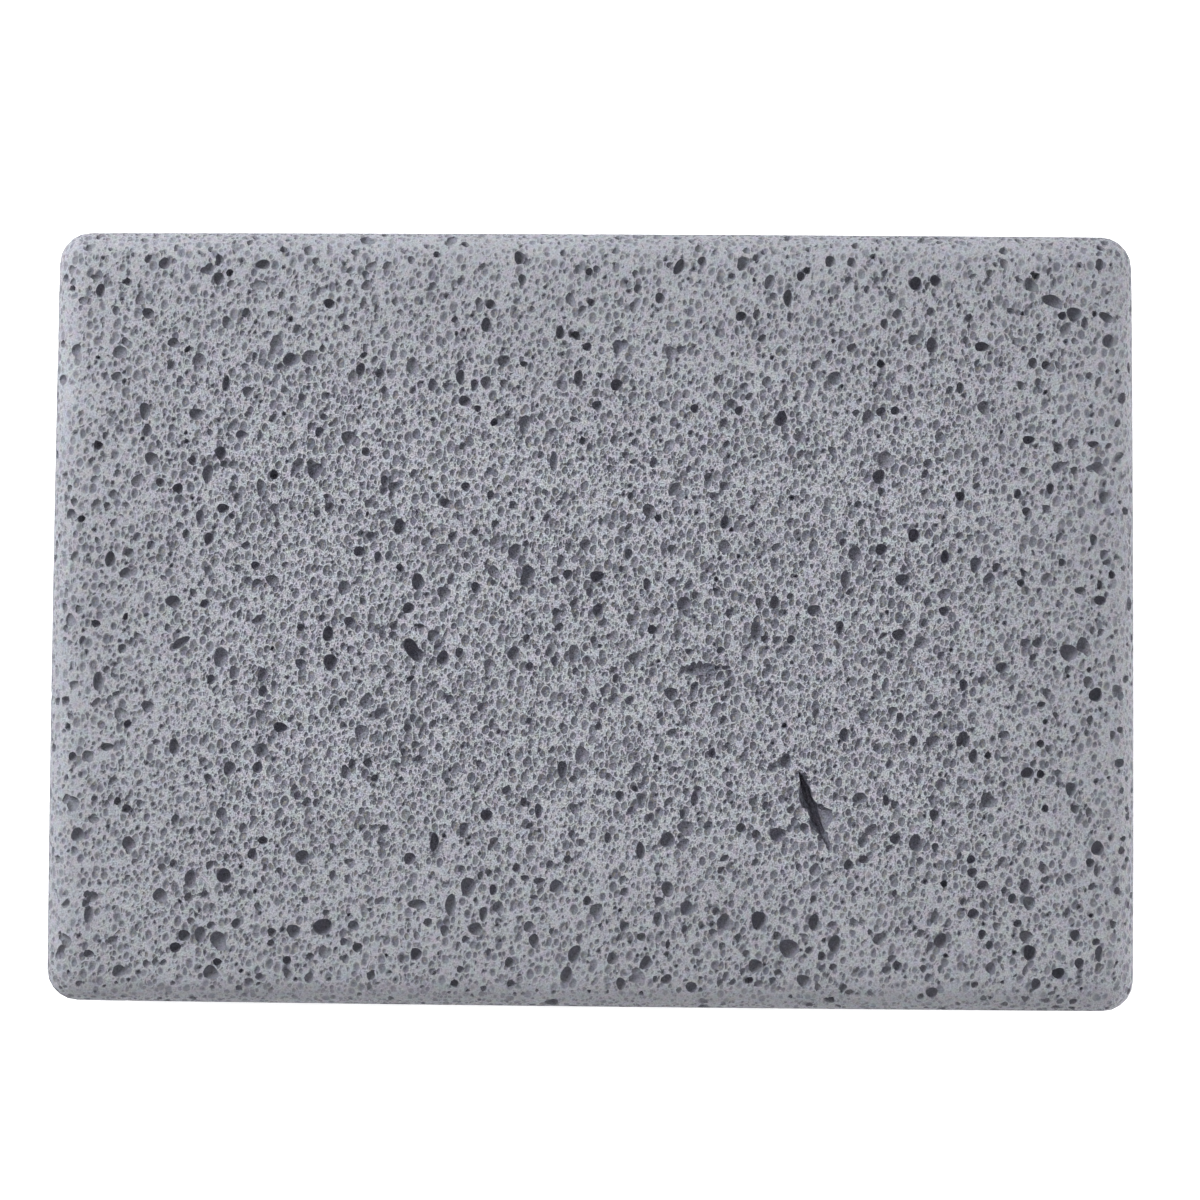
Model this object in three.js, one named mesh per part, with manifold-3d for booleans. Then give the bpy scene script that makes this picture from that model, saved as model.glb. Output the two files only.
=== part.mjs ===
// A rectangular pumice stone for scrubbing: one block of light grey foamed rock, sawn to a slab with
// worn, rounded edges and open bubbles all over. Millimetres, +Z up. It lies on its largest flat face,
// and the origin is the middle of that face's bounding box.
import * as THREE from "three";
import Module from "manifold-3d";
import { mergeVertices } from "three/addons/utils/BufferGeometryUtils.js";

const LENGTH = 99.8;
const WIDTH = 71.3;
const HEIGHT = 35;
const EDGE_RADIUS = 2.8;

// The block is a little out of square: it is longer along its -Y side, and wider at its +X end.
const LENGTH_TAPER = 0.0144;
const WIDTH_TAPER = 0.0092;
// The sawn sides swell in the middle, and the top face falls away softly over its outer fifth.
const END_SWELL = 0.12;
const SIDE_SWELL = 0.1;
const TOP_FALL = 0.5;
const TOP_FALL_FROM = 0.8;

const LENGTH_SEGMENTS = 10;
const WIDTH_SEGMENTS = 8;
const HEIGHT_SEGMENTS = 6;
const EDGE_SEGMENTS = 2;

const BUBBLE_SIDES = 7;
const SMALL_BUBBLE_SIDES = 6;
const RIM_RISE = 0.4;
// Bubbles at least this long have a rounded floor, and smaller ones run to a point.
const ROUND_FLOORED = 1.4;

// The bubbles and breaks of the top face are set out on axes turned this many degrees from the block's.
const LAYOUT_TURN = 0.44;

// The bubbles that stand out on the top face: centre x and y, long and short diameter,
// the lean of the long diameter in degrees from +X, and the depth.
const TOP_BUBBLES = [
  [-16.6, -2.6, 2.1, 1.4, 118, 1.9],
  [-13.9, -3.4, 1.4, 1.2, 90, 1.1],
  [-7.4, -3.0, 1.4, 1.2, 90, 0.9],
  [-1.8, -3.0, 1.7, 1.2, 90, 0.7],
  [-17.9, 8.7, 1.5, 1.2, 90, 1.2],
  [-16.2, 3.6, 1.6, 1.3, 90, 1.2],
  [-17.1, 1.2, 1.2, 1.1, 0, 1.3],
  [-22.5, -0.1, 1.2, 1.1, 0, 1.0],
  [-21.6, 6.4, 1.2, 1.1, 0, 1.2],
  [-24.5, -1.2, 1.5, 1.1, 90, 1.4],
  [-24.3, -3.8, 1.6, 1.4, 90, 1.5],
  [-34.4, -3.3, 1.9, 1.4, 90, 1.0],
  [-38.8, 1.8, 1.5, 1.2, 0, 1.1],
  [-38.1, -2.0, 1.9, 0.9, 35, 0.9],
  [-45.7, -5.6, 1.8, 1.1, 90, 0.9],
  [-44.6, 5.7, 1.6, 1.0, 90, 1.1],
  [-35.6, 13.6, 1.9, 1.0, 80, 1.0],
  [-34.4, 15.5, 1.3, 1.1, 90, 1.3],
  [-34.2, 10.4, 1.2, 1.0, 0, 1.3],
  [-35.5, 7.6, 1.2, 1.0, 90, 1.2],
  [-30.7, 12.3, 1.7, 0.9, 90, 0.7],
  [-40.8, 15.0, 1.4, 1.2, 0, 0.9],
  [-41.4, 19.4, 1.6, 1.1, 90, 0.9],
  [-36.7, 19.1, 1.3, 1.2, 0, 0.9],
  [-43.7, 24.8, 1.4, 1.3, 0, 0.7],
  [-28.0, 24.1, 1.4, 1.3, 0, 1.1],
  [-26.2, 24.3, 1.5, 1.4, 0, 0.7],
  [-33.9, 21.9, 1.5, 0.8, 90, 0.9],
  [-36.4, 24.1, 1.3, 1.3, 0, 0.7],
  [-30.5, 32.9, 1.4, 1.0, 0, 1.1],
  [-39.6, 33.0, 1.2, 1.2, 0, 1.0],
  [-34.6, 31.6, 1.3, 1.0, 90, 1.0],
  [-45.5, 30.5, 1.3, 0.9, 90, 1.0],
  [-41.1, 28.4, 1.2, 1.1, 0, 1.0],
  [-24.4, 29.3, 1.1, 1.0, 0, 1.3],
  [-9.9, 27.3, 1.5, 1.0, 90, 1.1],
  [-3.1, 26.6, 1.3, 0.9, 90, 1.1],
  [-16.7, 23.5, 1.7, 1.2, 90, 0.7],
  [-12.3, 22.5, 1.4, 0.9, 90, 1.0],
  [-11.9, 20.3, 1.2, 1.1, 0, 1.1],
  [-1.4, 22.4, 1.5, 0.9, 90, 1.0],
  [2.1, 21.8, 1.2, 1.2, 0, 1.4],
  [-8.3, 24.0, 1.3, 1.1, 0, 0.9],
  [7.9, 32.7, 1.6, 1.0, 60, 1.1],
  [17.9, 29.8, 1.6, 0.9, 90, 1.1],
  [16.2, 31.3, 1.6, 0.9, 65, 0.7],
  [29.7, 31.1, 1.3, 1.3, 0, 1.5],
  [31.5, 31.4, 1.1, 1.1, 0, 1.3],
  [13.6, 28.1, 1.1, 1.0, 0, 1.2],
  [31.2, 25.4, 1.6, 1.1, 90, 1.1],
  [42.3, 29.5, 2.2, 1.1, -25, 1.1],
  [44.3, 28.3, 1.5, 1.4, 0, 1.1],
  [47.3, 28.0, 1.5, 0.9, -30, 0.9],
  [47.5, 25.8, 1.3, 1.3, 0, 0.9],
  [35.8, 25.3, 1.5, 0.9, 0, 1.3],
  [26.9, 14.9, 1.6, 1.6, 0, 0.7],
  [26.3, 13.3, 1.4, 1.2, 90, 1.4],
  [29.5, 7.9, 1.3, 1.1, 90, 1.6],
  [26.5, 6.6, 1.2, 1.2, 0, 1.4],
  [28.5, 3.8, 1.5, 1.1, 0, 1.1],
  [24.1, 6.2, 1.5, 1.3, 90, 0.9],
  [23.2, 3.8, 1.8, 0.9, 90, 0.8],
  [28.2, -1.3, 1.4, 1.2, 0, 1.1],
  [15.0, -0.9, 1.8, 1.2, 90, 0.9],
  [8.3, 1.6, 1.6, 1.2, 30, 0.9],
  [0.3, 4.1, 1.3, 1.2, 0, 1.4],
  [-3.7, 14.7, 1.8, 0.8, 90, 0.7],
  [-7.3, 6.4, 1.6, 1.2, 90, 0.9],
  [16.7, 1.7, 1.3, 1.0, 90, 1.0],
  [20.3, 1.0, 1.3, 1.1, 0, 0.9],
  [12.1, 9.1, 1.3, 0.9, 90, 1.0],
  [40.1, 16.7, 1.2, 0.9, 0, 1.3],
  [43.8, -2.9, 1.8, 1.6, 0, 1.2],
  [46.3, -6.8, 1.4, 1.3, 90, 1.4],
  [35.2, 5.2, 1.5, 1.1, 90, 0.9],
  [32.4, 5.9, 1.3, 0.9, 90, 1.2],
  [37.6, -4.3, 1.2, 1.1, 0, 1.0],
  [47.1, 11.4, 1.3, 1.1, 90, 0.7],
  [46.7, 1.9, 1.2, 1.0, 0, 1.2],
  [-28.9, -9.8, 1.4, 1.0, 0, 1.4],
  [-38.7, -11.6, 1.6, 1.0, 90, 1.0],
  [-33.6, -13.6, 1.4, 1.2, 90, 1.0],
  [-47.6, -19.7, 1.4, 1.3, 90, 1.0],
  [-34.1, -23.5, 1.5, 1.4, 90, 1.5],
  [-37.2, -23.8, 1.9, 1.1, 90, 0.9],
  [-40.0, -25.3, 1.4, 1.4, 0, 0.9],
  [-25.0, -28.2, 1.9, 1.6, 0, 1.6],
  [-34.6, -29.5, 1.9, 1.5, 115, 1.0],
  [-36.3, -28.9, 1.6, 1.1, 90, 0.9],
  [-38.6, -30.1, 1.2, 1.0, 0, 1.3],
  [-46.6, -27.1, 1.8, 0.9, 90, 0.8],
  [-43.8, -32.3, 1.4, 1.2, 0, 0.9],
  [-9.9, -17.9, 1.2, 1.2, 0, 1.4],
  [-14.7, -20.4, 1.9, 0.9, 90, 1.3],
  [-17.0, -21.9, 1.2, 1.2, 0, 1.0],
  [-11.6, -24.5, 1.8, 1.5, 90, 1.1],
  [-13.2, -26.2, 2.1, 1.1, 90, 0.9],
  [-16.3, -26.1, 1.9, 0.9, 0, 0.8],
  [-2.9, -13.7, 1.7, 1.0, 90, 1.0],
  [-1.1, -12.4, 1.8, 1.3, 90, 0.7],
  [-2.5, -32.7, 1.7, 1.2, 90, 1.0],
  [-1.8, -30.7, 1.7, 1.2, 65, 1.0],
  [4.3, -21.2, 1.7, 0.9, 90, 1.0],
  [-10.9, -28.4, 1.4, 1.3, 0, 0.9],
  [-5.5, -29.5, 1.4, 1.0, 90, 0.9],
  [17.7, -12.9, 1.4, 1.1, 90, 0.9],
  [6.8, -20.2, 1.5, 1.4, 0, 1.1],
  [15.2, -27.6, 1.9, 1.4, 90, 1.5],
  [20.3, -27.8, 1.6, 1.1, 90, 1.1],
  [18.0, -30.2, 1.9, 1.8, 0, 1.3],
  [22.2, -29.8, 1.8, 1.2, 90, 1.1],
  [14.9, -31.8, 1.5, 1.2, 0, 1.0],
  [12.0, -27.8, 1.6, 1.4, 90, 0.9],
  [8.6, -26.5, 1.4, 1.4, 0, 0.9],
  [6.8, -24.7, 1.5, 1.2, 90, 0.9],
  [29.7, -20.5, 1.7, 1.3, 90, 1.1],
  [31.4, -17.9, 1.2, 1.0, 90, 1.0],
  [32.0, -29.5, 1.5, 1.3, 90, 1.1],
  [23.1, -10.5, 1.4, 0.9, 90, 0.9],
  [40.2, -30.6, 1.6, 1.2, 90, 1.5],
  [40.0, -14.0, 1.3, 1.1, 0, 1.2],
  [46.5, -21.0, 1.4, 1.3, 90, 1.1],
  [39.8, -24.5, 1.6, 1.0, 90, 0.9],
  [44.4, -29.0, 1.2, 1.0, 90, 1.0],
  [44.0, -15.5, 1.3, 1.1, 90, 0.9],
  [35.0, -12.5, 1.4, 0.9, 90, 0.9],
  [35.9, -24.4, 1.2, 1.0, 0, 0.9],
  [35.0, -27.0, 1.2, 1.0, 0, 1.0],
];

// Two breaks in the top face, each an outline of x and y that narrows to its floor: a gash eight
// millimetres long with a ragged side branch, and a short gouge where bubble walls crumbled away.
const GASH = {
  outline: [
    [19.2, -13.7], [19.8, -14.8], [20.3, -16.0], [21.2, -16.8], [22.4, -17.0], [22.8, -17.7],
    [22.0, -18.4], [22.3, -19.6], [22.1, -21.3], [21.4, -20.0], [20.6, -19.0], [20.0, -17.6],
    [19.6, -16.1], [19.1, -14.8],
  ],
  depth: 2.2,
};
const GOUGE = {
  outline: [
    [8.4, -3.8], [9.6, -3.6], [10.9, -4.0], [12.0, -3.8], [12.9, -4.4], [12.2, -5.2], [11.0, -4.9],
    [9.9, -5.3], [8.8, -4.7],
  ],
  depth: 1.3,
};
const BREAK_FLOOR_SHARE = 0.45;

// The rest of the bubbles are sprinkled evenly over each face: its width and height in its own plane,
// the number tried, the turn that carries its own +Z to the face's outward side, and the offset.
const TOP = { across: LENGTH, up: WIDTH, count: 105, turn: [0, 0, 0], offset: HEIGHT / 2 };
const BOTTOM = { across: LENGTH, up: WIDTH, count: 84, turn: [Math.PI, 0, 0], offset: HEIGHT / 2 };
const SIDE = { across: LENGTH, up: HEIGHT, count: 46, offset: WIDTH / 2 };
const END = { across: HEIGHT, up: WIDTH, count: 33, offset: LENGTH / 2 };
const FRONT = { ...SIDE, turn: [Math.PI / 2, 0, 0] };
const BACK = { ...SIDE, turn: [-Math.PI / 2, 0, 0] };
const RIGHT = { ...END, turn: [0, Math.PI / 2, 0] };
const LEFT = { ...END, turn: [0, -Math.PI / 2, 0] };
const FACES = [TOP, BOTTOM, FRONT, BACK, RIGHT, LEFT];
const FACE_MARGIN = 1.6;
const BUBBLE_GAP = 0.25;
const DIMPLE_DEPTH = 0.75;
// Steps of an even two-way sprinkle, and of the draws of size, shape and lean that go with it.
const SPRINKLE_STEPS = [0.7548776662, 0.569840291];
const SIZE_STEP = 0.6180339887;
const SHAPE_STEP = 0.3247179572;
const LEAN_STEP = 0.4142135624;
const SMALLEST = 1.0;
const LARGEST = 2.0;
// The stone stands on the middle of its underside, which is left whole there.
const RESTING_PATCH = 9;

// Edges shorter than this are closed up where cuts meet.
const TOLERANCE = 0.01;

const wasm = await Module();
wasm.setup();

function solidOf(geometry) {
  const bare = geometry.clone();
  bare.deleteAttribute("normal");
  bare.deleteAttribute("uv");
  const merged = mergeVertices(bare, 1e-4);
  return new wasm.Manifold(
    new wasm.Mesh({
      numProp: 3,
      vertProperties: new Float32Array(merged.getAttribute("position").array),
      triVerts: new Uint32Array(merged.index.array),
      tolerance: TOLERANCE,
    }),
  );
}

function geometryOf(solid) {
  const mesh = solid.getMesh();
  const geometry = new THREE.BufferGeometry();
  geometry.setAttribute("position", new THREE.BufferAttribute(mesh.vertProperties, 3));
  geometry.setIndex(new THREE.BufferAttribute(mesh.triVerts, 1));
  return geometry;
}

// Bunches the last segments of an evenly divided side into its rounded edge.
function bunched(value, size, segments) {
  const flat = size / 2 - EDGE_RADIUS;
  const stepsFromEnd = (1 - Math.abs(value) / (size / 2)) * (segments / 2);
  if (stepsFromEnd >= EDGE_SEGMENTS) {
    const share = (segments / 2 - stepsFromEnd) / (segments / 2 - EDGE_SEGMENTS);
    return Math.sign(value) * flat * share;
  }
  const angle = (Math.PI / 4) * (1 - stepsFromEnd / EDGE_SEGMENTS);
  return Math.sign(value) * (flat + EDGE_RADIUS * Math.tan(angle));
}

function clampTo(value, limit) {
  return Math.max(-limit, Math.min(limit, value));
}

// How far the top has begun to fall away, from 0 over its middle to 1 at the end of the block.
function fallShare(share) {
  return (Math.max(0, Math.abs(share) - TOP_FALL_FROM) / (1 - TOP_FALL_FROM)) ** 2;
}

// Moves a point of the square, rounded block to its place on the uneven one.
function uneven(point) {
  const along = point.x / (LENGTH / 2);
  const across = point.y / (WIDTH / 2);
  const up = point.z / HEIGHT + 0.5;
  const endSwell = END_SWELL * (1 - across * across);
  const sideSwell = SIDE_SWELL * (1 - along * along);
  const fall = fallShare(along) + fallShare(across);
  return new THREE.Vector3(
    point.x * (1 - (LENGTH_TAPER * point.y) / WIDTH) + along * endSwell,
    point.y * (1 + (WIDTH_TAPER * point.x) / LENGTH) + across * sideSwell,
    point.z - TOP_FALL * fall * up * up,
  );
}

function blockSolid() {
  const geometry = new THREE.BoxGeometry(
    LENGTH,
    WIDTH,
    HEIGHT,
    LENGTH_SEGMENTS,
    WIDTH_SEGMENTS,
    HEIGHT_SEGMENTS,
  );
  const position = geometry.getAttribute("position");
  const point = new THREE.Vector3();
  const core = new THREE.Vector3();
  for (let i = 0; i < position.count; i++) {
    point.fromBufferAttribute(position, i);
    point.set(
      bunched(point.x, LENGTH, LENGTH_SEGMENTS),
      bunched(point.y, WIDTH, WIDTH_SEGMENTS),
      bunched(point.z, HEIGHT, HEIGHT_SEGMENTS),
    );
    core.set(
      clampTo(point.x, LENGTH / 2 - EDGE_RADIUS),
      clampTo(point.y, WIDTH / 2 - EDGE_RADIUS),
      clampTo(point.z, HEIGHT / 2 - EDGE_RADIUS),
    );
    point.sub(core).setLength(EDGE_RADIUS).add(core);
    const placed = uneven(point);
    position.setXYZ(i, placed.x, placed.y, placed.z);
  }
  return solidOf(geometry);
}

// A cup with its mouth on z = 0, a steep wall and a rounded floor.
function cupGeometry(long, short, lean, depth) {
  const profile = [
    new THREE.Vector2(0, -depth),
    new THREE.Vector2(0.39, -0.62 * depth),
    new THREE.Vector2(0.5, RIM_RISE * 0.25),
    new THREE.Vector2(0, RIM_RISE),
  ];
  const cup = new THREE.LatheGeometry(profile, BUBBLE_SIDES);
  cup.rotateX(Math.PI / 2);
  cup.scale(long, short, 1);
  cup.rotateZ(THREE.MathUtils.degToRad(lean));
  return cup;
}

// A plain six-sided dimple with its mouth on z = 0.
function dimpleGeometry(long, short, lean, depth) {
  const height = depth + RIM_RISE;
  const flare = height / depth;
  const dimple = new THREE.ConeGeometry(0.5 * flare, height, SMALL_BUBBLE_SIDES);
  dimple.rotateX(-Math.PI / 2);
  dimple.translate(0, 0, RIM_RISE - height / 2);
  dimple.scale(long, short, 1);
  dimple.rotateZ(THREE.MathUtils.degToRad(lean));
  return dimple;
}

function breakGeometry({ outline, depth }) {
  const shape = new THREE.Shape(outline.map(([x, y]) => laidOut(x, y)));
  const geometry = new THREE.ExtrudeGeometry(shape, {
    depth: depth + RIM_RISE,
    bevelEnabled: false,
  });
  geometry.translate(0, 0, -depth);
  const middle = outline
    .reduce((sum, [x, y]) => sum.add(laidOut(x, y)), new THREE.Vector2())
    .divideScalar(outline.length);
  const position = geometry.getAttribute("position");
  for (let i = 0; i < position.count; i++) {
    if (position.getZ(i) > 0) continue;
    position.setX(i, THREE.MathUtils.lerp(middle.x, position.getX(i), BREAK_FLOOR_SHARE));
    position.setY(i, THREE.MathUtils.lerp(middle.y, position.getY(i), BREAK_FLOOR_SHARE));
  }
  return geometry;
}

function fraction(value) {
  return value - Math.floor(value);
}

// True where a bubble would run into one that is cut already.
function crowds(taken, x, y, size) {
  return taken.some(
    (other) => Math.hypot(other.x - x, other.y - y) < (other.size + size) / 2 + BUBBLE_GAP,
  );
}

function sprinkle(face, taken) {
  const bubbles = [];
  for (let n = 1; n <= face.count; n++) {
    const x = (fraction(0.5 + n * SPRINKLE_STEPS[0]) - 0.5) * (face.across - 2 * FACE_MARGIN);
    const y = (fraction(0.5 + n * SPRINKLE_STEPS[1]) - 0.5) * (face.up - 2 * FACE_MARGIN);
    const size = SMALLEST + (LARGEST - SMALLEST) * fraction(n * SIZE_STEP) ** 2;
    const short = size * (1 - 0.4 * fraction(n * SHAPE_STEP));
    const lean = 180 * fraction(n * LEAN_STEP);
    if (face === BOTTOM && Math.hypot(x, y) < RESTING_PATCH) continue;
    if (crowds(taken, x, y, size)) continue;
    taken.push({ x, y, size });
    bubbles.push(placedOn(face, x, y, dimpleGeometry(size, short, lean, DIMPLE_DEPTH * short)));
  }
  return bubbles;
}

function middleOf({ outline }) {
  const box = new THREE.Box2().setFromPoints(outline.map(([x, y]) => laidOut(x, y)));
  return { middle: box.getCenter(new THREE.Vector2()), size: box.min.distanceTo(box.max) };
}

// Turns a cutter to its face and sets it on the uneven block at x and y of the face's own plane.
function placedOn(face, x, y, geometry) {
  const turn = new THREE.Euler(...face.turn);
  const place = uneven(new THREE.Vector3(x, y, face.offset).applyEuler(turn));
  const matrix = new THREE.Matrix4().makeRotationFromEuler(turn).setPosition(place);
  return geometry.applyMatrix4(matrix);
}

// A place of the top face's layout in the block's own axes.
function laidOut(x, y) {
  const turn = THREE.MathUtils.degToRad(LAYOUT_TURN);
  return new THREE.Vector2(x, y).rotateAround(new THREE.Vector2(), turn);
}

function pickedBubbles() {
  return TOP_BUBBLES.map(([x, y, long, short, lean, depth]) => {
    const shape = long < ROUND_FLOORED ? dimpleGeometry : cupGeometry;
    const place = laidOut(x, y);
    return placedOn(TOP, place.x, place.y, shape(long, short, lean, depth));
  });
}

function topTaken() {
  const taken = TOP_BUBBLES.map(([x, y, long]) => {
    const place = laidOut(x, y);
    return { x: place.x, y: place.y, size: long };
  });
  for (const broken of [GASH, GOUGE]) {
    const { middle, size } = middleOf(broken);
    taken.push({ x: middle.x, y: middle.y, size });
  }
  return taken;
}

function stoneMesh() {
  const breaks = [GASH, GOUGE].map((broken) => placedOn(TOP, 0, 0, breakGeometry(broken)));
  const loose = FACES.flatMap((face) => sprinkle(face, face === TOP ? topTaken() : []));
  const cutters = [...pickedBubbles(), ...breaks, ...loose].map(solidOf);
  const stone = blockSolid().subtract(wasm.Manifold.union(cutters));
  const geometry = geometryOf(stone);
  geometry.computeBoundingBox();
  const box = geometry.boundingBox;
  geometry.translate(-(box.min.x + box.max.x) / 2, -(box.min.y + box.max.y) / 2, -box.min.z);
  geometry.computeVertexNormals();
  const foam = new THREE.MeshStandardMaterial({ color: 0x8c8e98, roughness: 0.95, metalness: 0 });
  const mesh = new THREE.Mesh(geometry, foam);
  mesh.name = "pumice_stone";
  return mesh;
}

const pumice = new THREE.Group();
pumice.name = "pumice";
pumice.add(stoneMesh());

export default pumice;
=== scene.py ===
"""A rectangular pumice stone for scrubbing: a sawn block of grey foamed rock with open bubbles.

The block is modelled from a cube, its bubbles are cut into it by copies of a few modelled bubbles,
and the bubbles too fine to cut are in its material. Lengths are in metres unless a name says mm.
"""
import itertools
import math

import bmesh
import bpy
import numpy as np
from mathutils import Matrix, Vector
from mathutils.bvhtree import BVHTree


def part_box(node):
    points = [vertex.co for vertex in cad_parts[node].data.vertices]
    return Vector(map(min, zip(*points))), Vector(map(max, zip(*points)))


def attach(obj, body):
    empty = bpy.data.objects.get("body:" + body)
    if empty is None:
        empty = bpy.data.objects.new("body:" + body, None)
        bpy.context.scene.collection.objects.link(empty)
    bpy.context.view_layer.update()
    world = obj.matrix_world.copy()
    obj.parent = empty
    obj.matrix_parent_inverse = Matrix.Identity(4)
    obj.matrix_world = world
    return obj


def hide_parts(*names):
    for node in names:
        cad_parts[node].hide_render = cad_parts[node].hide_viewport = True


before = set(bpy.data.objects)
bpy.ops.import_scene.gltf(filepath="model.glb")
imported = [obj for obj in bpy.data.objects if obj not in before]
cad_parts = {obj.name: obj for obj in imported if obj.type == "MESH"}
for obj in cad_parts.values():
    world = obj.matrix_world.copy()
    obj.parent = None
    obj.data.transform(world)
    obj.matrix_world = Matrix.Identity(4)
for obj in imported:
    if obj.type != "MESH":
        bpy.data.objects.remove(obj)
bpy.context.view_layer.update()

MM = 0.001
NODE = "pumice_stone"
PIECE = "pumice_foam"

# The block's driving dimensions.
LENGTH = 99.8 * MM
WIDTH = 71.3 * MM
HEIGHT = 35 * MM
EDGE_RADIUS = 2.8 * MM
EDGE_SEGMENTS = 5
SLICE = 4 * MM

# It is longer along its -Y side and wider at its +X end, its sides swell in the middle, and the top
# face falls away softly over its outer fifth.
LENGTH_TAPER = 0.0144
WIDTH_TAPER = 0.0092
END_SWELL = 0.12 * MM
SIDE_SWELL = 0.1 * MM
TOP_FALL = 0.5 * MM
TOP_FALL_FROM = 0.8

# The bubbles and breaks of the top face are set out on axes that are turned and moved a little from the
# block's own.
LAYOUT_TURN = math.radians(0.44)
LAYOUT_MIDDLE_MM = (0.09, -0.06)

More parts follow.
